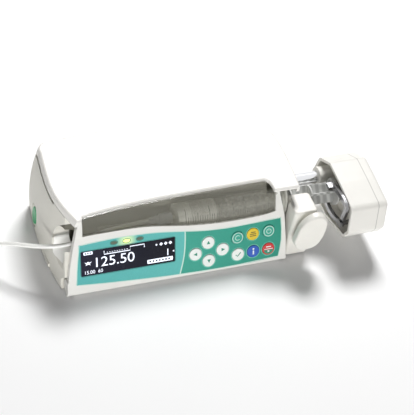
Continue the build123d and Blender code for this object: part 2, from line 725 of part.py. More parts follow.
with BuildPart() as plunger_rod:
    with BuildSketch(Plane.YZ.offset(STOPPER_X1)):
        with Locations((SYR_Y, SYR_Z)):
            Rectangle(17.0, 1.6, rotation=45)
            Rectangle(17.0, 1.6, rotation=-45)
    extrude(amount=ROD_X1 - STOPPER_X1)
    for x in (STOPPER_X1, 60, 78, 100, 118):
        with BuildSketch(Plane.YZ.offset(x)):
            with Locations((SYR_Y, SYR_Z)):
                Circle(8.6)
        extrude(amount=1.4)
    with BuildSketch(Plane.YZ.offset(ROD_X1)):
        with Locations((SYR_Y, SYR_Z)):
            Circle(11.4)
    extrude(amount=THUMB_X1 - ROD_X1)
save(plunger_rod, "plunger_rod")

with BuildPart() as luer_connector:
    with BuildSketch(Plane.YZ.offset(-3.0)):
        with Locations((SYR_Y, SYR_Z)):
            Circle(4.6)
    extrude(amount=-11.0)
    with BuildSketch(Plane.YZ.offset(-14)):
        with Locations((SYR_Y, SYR_Z)):
            Circle(3.6)
    extrude(amount=-8, taper=8)
    with BuildSketch(Plane.YZ.offset(0)):
        with Locations((SYR_Y, SYR_Z)):
            Circle(2.05)
    extrude(amount=-9.4, mode=Mode.SUBTRACT)
save(luer_connector, "luer_connector")

# ---------------------------------------------------------------- syringe holder
with BuildPart() as holder_base:
    with BuildSketch(Plane.XY.offset(2.5)):
        with Locations((103.4, -39.2)):
            RectangleRounded(20.4, 21.6, 3.0)
    extrude(amount=49.5)
    fillet(holder_base.faces().sort_by(Axis.Z)[-1].edges(), 1.5)
    with Locations((93.0, -24, 40)):
        Box(5.2, 24, 40, mode=Mode.SUBTRACT)          # slot for the barrel flange
    with BuildSketch(Plane.YZ.offset(90)):
        with Locations((SYR_Y, SYR_Z)):
            Circle(9.4)                               # cradle under the plunger rod
    extrude(amount=30, mode=Mode.SUBTRACT)
    with BuildSketch(Plane.XZ.offset(60)):
        with Locations((HOLDER_X, HOLDER_Z)):
            Circle(4.05)
    extrude(amount=-28, mode=Mode.SUBTRACT)
    # web that carries the block on the body
    with Locations((97.5, -28.3, 14)):
        Box(8.0, 1.0, 12)
save(holder_base, "holder_base")

with BuildPart() as holder_shaft:
    with BuildSketch(Plane.XZ.offset(50)):
        with Locations((HOLDER_X, HOLDER_Z)):
            Circle(4.0)
    extrude(amount=-17)
    with BuildSketch(Plane.XZ.offset(50)):
        with Locations((HOLDER_X, HOLDER_Z)):
            Circle(2.5)
    extrude(amount=7)
save(holder_shaft, "holder_shaft")

with BuildPart() as holder_paddle:
    with BuildSketch(Plane.XZ.offset(55)):
        with BuildLine():
            Spline((93.2, 31), (95.0, 22.5), (100, 18.2), (106, 17.4), (113, 19.6), (117.8, 27.5), (119.4, 39.5),
                   (118, 49.3), (112.7, 55.2), (105, 55.4), (98.6, 50.6), (94.8, 42), periodic=True)
        make_face()
    extrude(amount=6)
    front = holder_paddle.faces().sort_by(Axis.Y)[0]
    fillet(front.edges(), 2.2)
    with BuildSketch(Plane.XZ.offset(50.3)):
        with Locations((HOLDER_X, HOLDER_Z)):
            Circle(7.0)
    extrude(amount=4.7)
    with BuildSketch(Plane.XZ.offset(50)):
        with Locations((HOLDER_X, HOLDER_Z)):
            Circle(2.55)
    extrude(amount=7.3, mode=Mode.SUBTRACT)
save(holder_paddle, "holder_paddle")

# ---------------------------------------------------------------- drive
with BuildPart() as drive_tube:
    with BuildSketch(Plane.YZ.offset(TUBE_X0)):
        with Locations((TUBE_Y, TUBE_Z)):
            Circle(TUBE_R)
            Circle(TUBE_R - 1.0, mode=Mode.SUBTRACT)
    extrude(amount=TUBE_X1 - TUBE_X0)
save(drive_tube, "drive_tube")

with BuildPart() as carriage:
    with Locations((-2, 8.2, 31)):
        Box(20, 30.6, 32)
    fillet(carriage.edges().filter_by(Axis.X), 2.5)
    with BuildSketch(Plane.YZ.offset(-14)):
        with Locations((TUBE_Y, TUBE_Z)):
            Circle(TUBE_R)
        with Locations((SCREW_Y, SCREW_Z)):
            Circle(5.6)
        with Locations((GUIDE_Y, GUIDE_Z)):
            Circle(GUIDE_R + 0.06)
    extrude(amount=24, mode=Mode.SUBTRACT)
save(carriage, "carriage")

with BuildPart() as drive_nut:
    with BuildSketch(Plane.YZ.offset(-12)):
        with Locations((SCREW_Y, SCREW_Z)):
            Circle(5.6)
            Circle(SCREW_R + 0.3, mode=Mode.SUBTRACT)
    extrude(amount=20)
save(drive_nut, "drive_nut")

HEAD = [(9, 50), (14, 30), (10, 14), (-23, 11.5), (-57, 21), (-62, 31), (-57, 55), (-30, 58.3), (-8, 60)][::-1]
HEAD = HEAD[::-1] if sum(a[0] * b[1] - b[0] * a[1] for a, b in zip(HEAD, HEAD[1:] + HEAD[:1])) < 0 else HEAD


def head_profile(x, k):
    """Section of the drive head with its outline drawn in by k."""
    with BuildSketch(Plane.YZ.offset(x)) as sk:
        with BuildLine():
            Polyline(*HEAD, close=True)
        make_face()
        fillet(sk.vertices(), 5.0)
        if k:
            offset(amount=-k, kind=Kind.INTERSECTION)
    return sk.sketch


with BuildPart() as head_housing:
    extrude(head_profile(HEAD_X0, 0), amount=HEAD_SPLIT - HEAD_X0)
    extrude(head_profile(HEAD_X0, 2.4), amount=HEAD_SPLIT - HEAD_X0, mode=Mode.SUBTRACT)
    # back wall of the claw recess
    extrude(head_profile(154, 1.2), amount=2.5)
    # boss round the tube
    with BuildSketch(Plane.YZ.offset(135)):
        with Locations((TUBE_Y, TUBE_Z)):
            Circle(8.6)
    extrude(amount=28)
    with BuildSketch(Plane.YZ.offset(135)):
        with Locations((TUBE_Y, TUBE_Z)):
            Circle(TUBE_R)
    extrude(amount=17, mode=Mode.SUBTRACT)
    # pin seat
    with BuildSketch(Plane.YZ.offset(154)):
        with Locations((CLAW_Y, CLAW_Z)):
            Circle(2.0)
    extrude(amount=2.5, mode=Mode.SUBTRACT)
    # hole of the release button, in the back
    with BuildSketch(Plane.XZ.offset(-30)):
        with Locations((152, 31)):
            Circle(4.3)
    extrude(amount=24, mode=Mode.SUBTRACT)
save(head_housing, "head_housing")

with BuildPart() as head_cap:
    extrude(head_profile(HEAD_SPLIT, 0), amount=HEAD_X1 - HEAD_SPLIT)
    fillet(head_cap.faces().sort_by(Axis.X)[-1].edges(), 3.0)
    extrude(head_profile(HEAD_SPLIT, 3.0), amount=HEAD_X1 - HEAD_SPLIT - 3.0, mode=Mode.SUBTRACT)
save(head_cap, "head_cap")

with BuildPart() as pressure_plate:
    with BuildSketch(Plane.YZ.offset(THUMB_X1)):
        with Locations((SYR_Y, SYR_Z)):
            Circle(9.0)
    extrude(amount=3)
    with BuildSketch(Plane.YZ.offset(THUMB_X1)):
        with Locations((SYR_Y, SYR_Z)):
            Circle(5.0)
    extrude(amount=154 - THUMB_X1)
save(pressure_plate, "pressure_plate")

with BuildPart() as claw_pin:
    with BuildSketch(Plane.YZ.offset(136.1)):
        with Locations((CLAW_Y, CLAW_Z)):
            Circle(2.0)
    extrude(amount=156.5 - 136.1)
    with BuildSketch(Plane.YZ.offset(136.1)):
        with Locations((CLAW_Y, CLAW_Z)):
            Circle(3.0)
    extrude(amount=0.6)
save(claw_pin, "claw_pin")


def bar(points, x0, width, r, thick):
    """Bent round-cornered bar that follows the points in the YZ plane."""
    with BuildSketch(Plane.YZ.offset(x0)) as sk:
        with BuildLine():
            FilletPolyline(*points, radius=r)
        trace(line_width=width)
    return extrude(sk.sketch, amount=thick)


CLAW_X, CLAW_T = 136.9, 2.8
with BuildPart() as claw_upper:
    add(bar([(CLAW_Y, CLAW_Z), (-52.6, 52.6), (-41.0, 53.4), (-26.0, 50.8)], CLAW_X, 4.4, 4.0, CLAW_T))
    # finger that reaches over the plunger rod
    with Locations((CLAW_X - 1.6, -25.0, 50.9)):
        Box(6.0, 6.0, 2.4)
    with BuildSketch(Plane.YZ.offset(CLAW_X)):
        with Locations((CLAW_Y, CLAW_Z)):
            Circle(5.4)
    extrude(amount=CLAW_T / 2 + 0.1, mode=Mode.SUBTRACT)
    with BuildSketch(Plane.YZ.offset(CLAW_X + CLAW_T / 2 + 0.1)):
        with Locations((CLAW_Y, CLAW_Z)):
            Circle(3.3)
    extrude(amount=CLAW_T / 2 - 0.1)
    with BuildSketch(Plane.YZ.offset(CLAW_X)):
        with Locations((CLAW_Y, CLAW_Z)):
            Circle(2.05)
    extrude(amount=CLAW_T, mode=Mode.SUBTRACT)
save(claw_upper, "claw_upper")

with BuildPart() as claw_lower:
    add(bar([(CLAW_Y, CLAW_Z), (-45.0, 29.6), (-37.0, 26.6), (-29.5, 26.2), (-21.5, 27.6)], CLAW_X, 4.0, 2.6, CLAW_T))
    with BuildSketch(Plane.YZ.offset(CLAW_X + CLAW_T / 2 - 0.1)):
        with Locations((CLAW_Y, CLAW_Z)):
            Circle(5.4)
    extrude(amount=CLAW_T / 2 + 0.1, mode=Mode.SUBTRACT)
    with BuildSketch(Plane.YZ.offset(CLAW_X)):
        with Locations((CLAW_Y, CLAW_Z)):
            Circle(3.3)
    extrude(amount=CLAW_T / 2 - 0.1)
    with BuildSketch(Plane.YZ.offset(CLAW_X)):
        with Locations((CLAW_Y, CLAW_Z)):
            Circle(2.05)
    extrude(amount=CLAW_T, mode=Mode.SUBTRACT)
save(claw_lower, "claw_lower")

with BuildPart() as head_button:
    with BuildSketch(Plane.XZ.offset(-8)):
        with Locations((152, 31)):
            Circle(4.0)
    extrude(amount=-7.0)
    fillet(head_button.faces().sort_by(Axis.Y)[-1].edges(), 0.8)
save(head_button, "head_button")

with BuildPart() as release_button:
    with BuildSketch(Plane.YZ.offset(-101.6)):
        with Locations((25.0, 14.5)):
            Ellipse(5.3, 8.9)
    extrude(amount=8.0)
    fillet(release_button.faces().sort_by(Axis.X)[0].edges(), 0.8)
save(release_button, "release_button")

# ---------------------------------------------------------------- infusion line
# From the Luer connector out through the end cap's opening, down to the table, and
# into the coil that puts away the rest of its length.
ROUTE = [(-22, SYR_Y, SYR_Z), (-46, -22.6, 39.6), (-70, -26.6, 38.6), (-94, -31.2, 36.4),
         (-114, -24.4, 33.2), (-132, -11.6, 27.6), (-147, -0.6, 17.5), (-159, 9.0, 7.2),
         (-171, 18.5, 2.0), (-183, 30.0, 1.7), (-190.6, 46.0, 1.7)]


def line_path(points):
    """Straight runs joined by tangent arcs, each arc as large as its runs allow."""
    pts = [Vector(*p) for p in points]
    radii = []
    for a, b, d in zip(pts, pts[1:], pts[2:]):
        run0, run1 = b - a, d - b
        turn = radians(run0.get_angle(run1))
        radii.append(0.45 * min(run0.length, run1.length) / tan(turn / 2))
    with BuildLine() as path:
        FilletPolyline(*pts, radius=radii)
    wire = path.wire()
    print("line radii", [round(r, 1) for r in radii], "length", round(wire.length, 1))
    return wire, wire.length


main_path, main_length = line_path(ROUTE)
COIL_X, COIL_Y = -168.0, 47.0
TAIL = [(-145.8, 44.0, 11.9), (-145.8, 34.0, 10.4), (-145.8, 25.0, 7.0), (-145.8, 17.0, 4.4)]
tail_path, tail_length = line_path(TAIL)

with BuildPart() as infusion_line:
    for wire in (main_path, tail_path):
        with BuildSketch(Plane(origin=wire @ 0, z_dir=wire % 0)) as ring:
            Circle(LINE_R)
        sweep(sections=ring.sketch, path=wire)
save(infusion_line, "infusion_line")
print("line volume", round(infusion_line.part.volume, 1), "expected",
      round(pi * LINE_R ** 2 * (main_length + tail_length), 1))

with BuildPart() as line_coil:
    with BuildSketch(Plane.XY):
        with Locations((COIL_X, COIL_Y)):
            Circle(24.3)
            Circle(13.7, mode=Mode.SUBTRACT)
    extrude(amount=13.8)
save(line_coil, "line_coil")

with BuildPart() as line_end_connector:
    with BuildSketch(Plane(origin=(-145.8, 17.0, 4.4), z_dir=(0.0, -1, 0))):
        Circle(3.0)
    extrude(amount=8)
    with BuildSketch(Plane(origin=(-145.8, 9.0, 4.4), z_dir=(0.0, -1, 0))):
        Circle(4.3)
    extrude(amount=11)
save(line_end_connector, "line_end_connector")
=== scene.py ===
import bpy, bmesh
from math import sin, cos, pi, radians, sqrt, atan2
from mathutils import Vector, Matrix


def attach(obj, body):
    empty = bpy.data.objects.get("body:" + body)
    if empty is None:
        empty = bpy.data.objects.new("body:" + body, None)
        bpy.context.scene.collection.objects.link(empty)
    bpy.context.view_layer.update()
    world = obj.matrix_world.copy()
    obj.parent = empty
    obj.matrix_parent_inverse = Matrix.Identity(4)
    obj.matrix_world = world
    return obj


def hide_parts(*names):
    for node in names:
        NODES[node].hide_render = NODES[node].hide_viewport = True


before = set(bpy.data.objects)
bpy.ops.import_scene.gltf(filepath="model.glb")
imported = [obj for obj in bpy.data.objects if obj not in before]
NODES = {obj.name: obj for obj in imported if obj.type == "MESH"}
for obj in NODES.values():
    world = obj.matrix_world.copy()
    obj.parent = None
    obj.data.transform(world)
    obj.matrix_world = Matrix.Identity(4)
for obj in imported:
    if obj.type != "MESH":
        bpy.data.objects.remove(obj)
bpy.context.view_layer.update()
scene = bpy.context.scene

# ------------------------------------------------------------------ camera
AZ, EL, ROLL = radians(-29.05706), radians(45.54695), radians(12.57214)
back = Vector((sin(AZ) * cos(EL), -cos(AZ) * cos(EL), sin(EL)))
fwd = -back
right = fwd.cross(Vector((0, 0, 1))).normalized()
up = right.cross(fwd)
r2 = right * cos(ROLL) + up * sin(ROLL)
u2 = -right * sin(ROLL) + up * cos(ROLL)
cam_data = bpy.data.cameras.new("camera")
cam_data.lens = 131.88
cam_data.sensor_width = 36.0
cam_data.clip_start = 0.05
cam = bpy.data.objects.new("camera", cam_data)
cam.matrix_world = Matrix(((r2.x, u2.x, back.x, -0.38948), (r2.y, u2.y, back.y, -0.77224), (r2.z, u2.z, back.z, 0.91968), (0, 0, 0, 1)))
scene.collection.objects.link(cam)
scene.camera = cam
scene.view_settings.view_transform = "Standard"


# ------------------------------------------------------------------ materials
def srgb(r, g, b):
    def f(v):
        v /= 255.0
        return v / 12.92 if v <= 0.04045 else ((v + 0.055) / 1.055) ** 2.4
    return (f(r), f(g), f(b), 1.0)


class Nodes:
    """Small helper that wires a Principled material from procedural nodes."""

    def __init__(self, name):
        self.mat = bpy.data.materials.new(name)
        self.mat.use_nodes = True
        self.t = self.mat.node_tree
        self.bsdf = self.t.nodes["Principled BSDF"]
        self.co = self.t.nodes.new("ShaderNodeTexCoord").outputs["Object"]
        self._xyz = None

    def n(self, kind, **inputs):
        node = self.t.nodes.new(kind)
        for k, v in inputs.items():
            k = int(k[1:]) if k[0] == "_" else k
            if isinstance(v, bpy.types.NodeSocket):
                self.t.links.new(v, node.inputs[k])
            else:
                node.inputs[k].default_value = v
        return node

    def math(self, op, a, b=0.0, c=0.0):
        m = self.n("ShaderNodeMath", _0=a, _1=b, _2=c)
        m.operation = op
        return m.outputs[0]

    def axis(self, i):
        if self._xyz is None:
            self._xyz = self.n("ShaderNodeSeparateXYZ", _0=self.co)
        return self._xyz.outputs[i]

    def scaled(self, sx, sy, sz):
        v = self.n("ShaderNodeVectorMath", _0=self.co, _1=(sx, sy, sz))
        v.operation = "MULTIPLY"
        return v.outputs[0]

    def noise(self, scale, detail=3.0, rough=0.5, vec=None):
        return self.n("ShaderNodeTexNoise", Vector=vec or self.co, Scale=scale, Detail=detail, Roughness=rough).outputs["Fac"]

    def remap(self, v, a, b, lo=0.3, hi=0.7):
        return self.n("ShaderNodeMapRange", _0=v, _1=lo, _2=hi, _3=a, _4=b).outputs[0]

    def mix(self, fac, a, b):
        m = self.t.nodes.new("ShaderNodeMix")
        m.data_type = "RGBA"
        for sock, v in ((m.inputs[0], fac), (m.inputs[6], a), (m.inputs[7], b)):
            if isinstance(v, bpy.types.NodeSocket):
                self.t.links.new(v, sock)
            else:
                sock.default_value = v
        return m.outputs[2]

    def band(self, axis, at, half):
        """1 within half of the coordinate, else 0."""
        d = self.math("ABSOLUTE", self.math("SUBTRACT", self.axis(axis), at))
        return self.math("LESS_THAN", d, half)

    def bump(self, height, strength, distance):
        b = self.n("ShaderNodeBump", Strength=strength, Distance=distance, Height=height)
        self.t.links.new(b.outputs[0], self.bsdf.inputs["Normal"])

    def colour(self, v):
        if isinstance(v, bpy.types.NodeSocket):
            self.t.links.new(v, self.bsdf.inputs["Base Color"])
        else:
            self.bsdf.inputs["Base Color"].default_value = v


def tone(c, k):
    return (min(1, c[0] * k), min(1, c[1] * k), min(1, c[2] * k), 1.0)


def plastic(name, rgb, rough=0.42, var=0.035, grain=1400, bump=0.12, seams=(), coat=0.0, spec=0.5, alpha=1.0, shade=None):
    m = Nodes(name)
    base = srgb(*rgb)
    mott = m.noise(60, 4)
    col = m.mix(m.remap(mott, 0, 1), tone(base, 1 - var), tone(base, 1 + var * 0.5))
    # faint handling marks on the broad faces
    smear = m.noise(22, 6, 0.65, m.scaled(1, 2.2, 1))
    col = m.mix(m.remap(smear, 0.0, 0.05, 0.45, 0.8), col, tone(base, 0.8))
    for axis, at, half in seams:
        col = m.mix(m.math("MULTIPLY", m.band(axis, at, half), 0.4), col, tone(base, 0.12))
    if shade:
        col = shade(m, col, base)
    m.colour(col)
    r = m.remap(m.noise(420, 3), rough - 0.05, rough + 0.06)
    m.t.links.new(r, m.bsdf.inputs["Roughness"])
    m.bump(m.noise(grain, 2), bump, 0.00012)
    m.bsdf.inputs["Specular IOR Level"].default_value = spec
    if coat:
        m.bsdf.inputs["Coat Weight"].default_value = coat
        m.bsdf.inputs["Coat Roughness"].default_value = 0.08
    m.bsdf.inputs["Alpha"].default_value = alpha
    return m.mat


def metal(name, rgb, rough=0.25, stretch=(30, 1600, 1600), bump=0.1, var=0.1, threads=None):
    m = Nodes(name)
    base = srgb(*rgb)
    streak = m.noise(1.0, 4, 0.6, m.scaled(*stretch))
    m.colour(m.mix(m.remap(streak, 0, 1), tone(base, 1 - var), tone(base, 1 + var)))
    m.bsdf.inputs["Metallic"].default_value = 1.0
    r = m.remap(streak, rough * 0.75, rough * 1.3)
    m.t.links.new(r, m.bsdf.inputs["Roughness"])
    if threads:
        w = m.n("ShaderNodeTexWave", Vector=m.co, Scale=threads)
        w.bands_direction = "X"
        m.bump(w.outputs["Fac"], 0.9, 0.0006)
    else:
        m.bump(streak, bump, 0.0001)
    return m.mat


def clear(name, rgb, alpha, rough=0.08, spec=0.6, streaks=None):
    m = Nodes(name)
    base = srgb(*rgb)
    fac = m.remap(m.noise(45, 3, 0.5, m.scaled(1, 1.5, 4)), 0, 1)
    col = m.mix(fac, tone(base, 0.93), tone(base, 1.05))
    m.colour(col)
    r = m.remap(m.noise(300, 2), rough * 0.8, rough * 1.4)
    m.t.links.new(r, m.bsdf.inputs["Roughness"])
    m.bsdf.inputs["Specular IOR Level"].default_value = spec
    if streaks:
        a = m.remap(m.noise(1.0, 3, 0.5, m.scaled(*streaks)), alpha - 0.07, alpha + 0.09)
        m.t.links.new(a, m.bsdf.inputs["Alpha"])
    else:
        a = m.remap(m.noise(120, 2), alpha - 0.03, alpha + 0.03)
        m.t.links.new(a, m.bsdf.inputs["Alpha"])
    m.bump(m.noise(160, 2), 0.05, 0.0001)
    return m.mat


def glow(name, rgb, strength):
    m = Nodes(name)
    base = srgb(*rgb)
    px = m.noise(1500, 1)
    col = m.mix(m.remap(px, 0, 1), tone(base, 0.9), base)
    m.colour(col)
    m.t.links.new(col, m.bsdf.inputs["Emission Color"])
    m.bsdf.inputs["Emission Strength"].default_value = strength
    m.bsdf.inputs["Roughness"].default_value = 0.5
    return m.mat


CREAM = (226, 225, 222)


def scoop_painted_shade_and_light(m, col, base):
    """Inside of the line's opening: painted shade above the line, painted light below it."""
    y, z = m.axis(1), m.axis(2)
    dz = m.math("SUBTRACT", z, 0.035)
    backy = m.math("SUBTRACT", -0.0159, m.math("MULTIPLY", m.math("MULTIPLY", dz, dz), 23.0))
    inside = m.math("MULTIPLY", m.math("LESS_THAN", y, backy), m.math("GREATER_THAN", y, -0.0342))
    inside = m.math("MULTIPLY", inside, m.math("LESS_THAN", m.axis(0), -0.0835))
    # painted shade of the shadowed cavity above the line
    above = m.math("MULTIPLY", inside, m.remap(z, 0, 1, 0.0365, 0.0385))
    col = m.mix(above, col, srgb(84, 82, 68))
    # painted light on the lit floor of the opening below the line
    below = m.math("MULTIPLY", inside, m.remap(z, 1, 0, 0.033, 0.0375))
    below = m.math("MULTIPLY", below, m.math("GREATER_THAN", z, 0.020))
    return m.mix(below, col, srgb(252, 252, 248))


MAT = {}
MAT["cover"] = plastic("cover_plastic", (230, 228, 223), 0.40, 0.02, 1500, 0.10, seams=[(2, 0.0618, 0.00035)])
MAT["case"] = plastic("case_plastic", (222, 220, 211), 0.45, 0.03, 1500, 0.14, seams=[(2, 0.0617, 0.0004), (0, -0.086, 0.0002)])
MAT["cap"] = plastic("cap_plastic", (222, 220, 211), 0.45, 0.03, 1500, 0.14, seams=[(2, 0.0617, 0.0004)], shade=scoop_painted_shade_and_light)
MAT["door"] = plastic("door_plastic", (232, 231, 226), 0.40, 0.03, 1500, 0.10)
MAT["head"] = plastic("head_plastic", (226, 224, 218), 0.42, 0.03, 1500, 0.12, seams=[(0, 0.165, 0.0004)])
MAT["holder"] = plastic("holder_plastic", (226, 224, 217), 0.38, 0.03, 1500, 0.10)
MAT["chassis"] = plastic("chassis_plastic", (150, 148, 136), 0.55, 0.06, 1100, 0.3)
MAT["black"] = plastic("black_plastic", (24, 24, 26), 0.5, 0.1, 1200, 0.3)
MAT["rubber"] = plastic("foot_rubber", (34, 34, 35), 0.75, 0.12, 900, 0.6, spec=0.3)
MAT["lock"] = plastic("lock_green", (60, 165, 110), 0.38, 0.05, 1500, 0.12)
MAT["chrome"] = metal("tube_chrome", (240, 241, 243), 0.10, (20, 2600, 2600), 0.03, 0.03)
MAT["dark_chrome"] = metal("claw_steel", (150, 150, 152), 0.20, (900, 900, 60), 0.06, 0.10)
MAT["steel"] = metal("ground_steel", (176, 177, 180), 0.26, (40, 1800, 1800), 0.1, 0.08)
MAT["thread"] = metal("screw_steel", (172, 172, 176), 0.28, (40, 1800, 1800), 0.1, 0.08, threads=78.5)
MAT["alu"] = metal("machined_aluminium", (190, 192, 195), 0.34, (1500, 60, 1500), 0.2, 0.08)
MAT["brass"] = metal("turned_brass", (206, 170, 96), 0.27, (60, 1500, 1500), 0.12, 0.08)
MAT["bronze"] = metal("sintered_bronze", (150, 112, 66), 0.45, (900, 900, 900), 0.4, 0.16)
MAT["motor"] = metal("motor_can", (128, 129, 134), 0.36, (50, 1500, 1500), 0.12, 0.08)
MAT["gear"] = plastic("gear_acetal", (226, 222, 204), 0.45, 0.05, 1400, 0.1)
MAT["connector"] = clear("connector_plastic", (232, 236, 240), 0.78, 0.2)
def barrel_material():
    m = Nodes("barrel_plastic")
    # milky where the barrel is full, clearer behind the stopper
    full = m.remap(m.axis(0), 1, 0, 0.032, 0.034)
    base = srgb(236, 236, 226)
    m.colour(m.mix(m.remap(m.noise(1.0, 3, 0.5, m.scaled(260, 20, 20)), 0, 1), tone(base, 0.86), base))
    ends = m.math("ADD", m.band(0, 0.005, 0.006), m.band(0, 0.0925, 0.002))
    a = m.math("ADD", m.math("MULTIPLY", full, 0.46), m.remap(m.noise(300, 2), 0.28, 0.34))
    a = m.math("ADD", a, m.math("MULTIPLY", ends, 0.3))
    m.t.links.new(a, m.bsdf.inputs["Alpha"])
    m.t.links.new(m.remap(m.noise(200, 2), 0.10, 0.18), m.bsdf.inputs["Roughness"])
    m.bump(m.noise(160, 2), 0.05, 0.0001)
    return m.mat


MAT["barrel"] = barrel_material()
MAT["line"] = plastic("line_tubing", (240, 240, 236), 0.24, 0.03, 500, 0.05, coat=0.3)
MAT["stopper"] = plastic("stopper_rubber", (24, 24, 28), 0.55, 0.12, 900, 0.3, spec=0.4)


def rod_material():
    m = Nodes("rod_plastic")
    base = srgb(214, 215, 212)
    # moulded webs every 6 mm, with painted highlight along their tops and painted shade between them
    w = m.n("ShaderNodeTexWave", Vector=m.co, Scale=52.0, Distortion=0.6)
    w.bands_direction = "X"
    m.colour(m.mix(m.remap(w.outputs["Fac"], 0, 1, 0.2, 0.9), tone(base, 0.72), tone(base, 1.12)))
    m.bsdf.inputs["Roughness"].default_value = 0.3
    m.bsdf.inputs["Alpha"].default_value = 0.86
    m.bump(w.outputs["Fac"], 0.5, 0.0005)
    return m.mat


MAT["rod"] = rod_material()


def window_material():
    m = Nodes("window_plastic")
    base = srgb(168, 166, 152)
    fac = m.remap(m.noise(1.0, 3, 0.5, m.scaled(6, 40, 420)), 0, 1)
    col = m.mix(fac, tone(base, 0.82), tone(base, 1.12))
    # painted shade: a darker line where the clear part folds under the cover
    col = m.mix(m.remap(m.axis(2), 0, 0.6, 0.0655, 0.0668), col, tone(base, 0.25))
    m.colour(col)
    a = m.remap(m.noise(1.0, 4, 0.6, m.scaled(4, 30, 500)), 0.18, 0.30)
    m.t.links.new(a, m.bsdf.inputs["Alpha"])
    m.t.links.new(m.remap(m.noise(240, 2), 0.06, 0.14), m.bsdf.inputs["Roughness"])
    m.bump(m.noise(90, 2), 0.04, 0.0002)
    m.bsdf.inputs["Specular IOR Level"].default_value = 0.7
    return m.mat


MAT["window"] = window_material()


def overlay_material():
    m = Nodes("overlay_film")
    # distance up the slope, then the bent line that parts the two tones
    s = m.math("DIVIDE", m.math("SUBTRACT", m.axis(2), 0.002), cos(radians(24)))
    k = m.math("DIVIDE", m.math("SUBTRACT", 0.042, s), 0.037)
    edge = m.math("SUBTRACT", 0.003, m.math("MULTIPLY", m.math("MULTIPLY", k, k), 0.0045))
    side = m.math("GREATER_THAN", m.axis(0), edge)
    teal, green = srgb(74, 176, 174), srgb(30, 146, 124)
    left = m.mix(m.remap(m.axis(0), 0, 1, -0.085, 0.0), teal, srgb(90, 186, 180))
    rightc = m.mix(m.remap(m.axis(0), 0, 1, 0.0, 0.085), srgb(46, 160, 140), green)
    col = m.mix(side, left, rightc)
    col = m.mix(m.remap(m.noise(900, 2), 0, 0.10), col, srgb(20, 90, 80))
    # spill of the lit status light on the film round it
    du = m.math("SUBTRACT", m.axis(0), -0.046)
    ds = m.math("SUBTRACT", s, 0.042)
    dist = m.math("SQRT", m.math("ADD", m.math("MULTIPLY", du, du), m.math("MULTIPLY", ds, ds)))
    halo = m.remap(dist, 0.75, 0.0, 0.002, 0.0095)
    col = m.mix(halo, col, srgb(222, 232, 160))
    m.colour(col)
    m.t.links.new(col, m.bsdf.inputs["Emission Color"])
    m.t.links.new(m.math("MULTIPLY", halo, 0.5), m.bsdf.inputs["Emission Strength"])
    m.t.links.new(m.remap(m.noise(500, 3), 0.30, 0.42), m.bsdf.inputs["Roughness"])
    m.bump(m.noise(2200, 2), 0.08, 0.0001)
    return m.mat


MAT["overlay"] = overlay_material()


def display_material():
    m = Nodes("display_face")
    g = m.remap(m.axis(0), 0, 1, -0.084, -0.0055)
    col = m.mix(g, srgb(14, 16, 40), srgb(10, 12, 24))
    # fine pixel grid
    br = m.n("ShaderNodeTexBrick", Vector=m.scaled(1, 1, 1), Scale=1500.0, Color1=(1, 1, 1, 1), Color2=(0.9, 0.9, 0.9, 1), Mortar=(0.4, 0.4, 0.4, 1))
    col = m.mix(m.math("MULTIPLY", br.outputs["Fac"], 0.25), col, srgb(8, 9, 16))
    m.colour(col)
    m.t.links.new(m.remap(m.noise(60, 2), 0.22, 0.30), m.bsdf.inputs["Roughness"])
    m.bsdf.inputs["Specular IOR Level"].default_value = 0.22
    return m.mat


MAT["display"] = display_material()


def lights_material():
    m = Nodes("status_light_lens")
    lit = m.band(0, -0.046, 0.004)
    col = m.mix(lit, srgb(96, 110, 92), srgb(226, 240, 120))
    col = m.mix(m.remap(m.noise(800, 2), 0, 0.2), col, srgb(60, 70, 60))
    m.colour(col)
    m.t.links.new(col, m.bsdf.inputs["Emission Color"])
    m.t.links.new(m.math("MULTIPLY", lit, 2.2), m.bsdf.inputs["Emission Strength"])
    m.bsdf.inputs["Roughness"].default_value = 0.25
    return m.mat


MAT["lights"] = lights_material()


def board_material():
    m = Nodes("circuit_board")
    br = m.n("ShaderNodeTexBrick", Vector=m.scaled(1, 1, 1), Scale=190.0, Color1=srgb(18, 96, 56), Color2=srgb(14, 82, 50), Mortar=srgb(150, 130, 70))
    br.inputs["Mortar Size"].default_value = 0.012
    m.colour(m.mix(m.remap(m.noise(300, 3), 0, 0.3), br.outputs["Color"], srgb(10, 60, 36)))
    m.t.links.new(m.remap(m.noise(500, 2), 0.28, 0.42), m.bsdf.inputs["Roughness"])
    m.bump(br.outputs["Fac"], 0.3, 0.0001)
    return m.mat


MAT["board"] = board_material()


def battery_material():
    m = Nodes("battery_wrap")
    col = m.mix(m.band(2, 0.0216, 0.006), srgb(30, 52, 128), srgb(214, 216, 220))
    m.colour(m.mix(m.remap(m.noise(200, 4), 0, 0.2), col, srgb(18, 28, 70)))
    m.t.links.new(m.remap(m.noise(120, 4), 0.22, 0.4), m.bsdf.inputs["Roughness"])
    m.bump(m.noise(90, 4), 0.2, 0.0003)
    return m.mat


MAT["battery"] = battery_material()


def key_material(name, rgb):
    return plastic(name, rgb, 0.36, 0.05, 1700, 0.12, coat=0.15)


KEYCOL = dict(key_up=(238, 242, 238), key_left=(238, 242, 238), key_right=(238, 242, 238), key_down=(238, 242, 238),
              key_clear=(44, 160, 138), key_bolus=(228, 196, 44), key_power=(44, 160, 138), key_ok=(238, 242, 238),
              key_info=(34, 88, 184), key_start_stop=(206, 50, 48))
KEYAT = dict(key_up=(23, 28.5), key_left=(12, 20), key_right=(35.5, 20.5), key_down=(23.5, 12.5),
             key_clear=(48.5, 28.5), key_bolus=(62, 29.5), key_power=(76, 30), key_ok=(49, 13.5),
             key_info=(62.5, 14), key_start_stop=(76, 14))

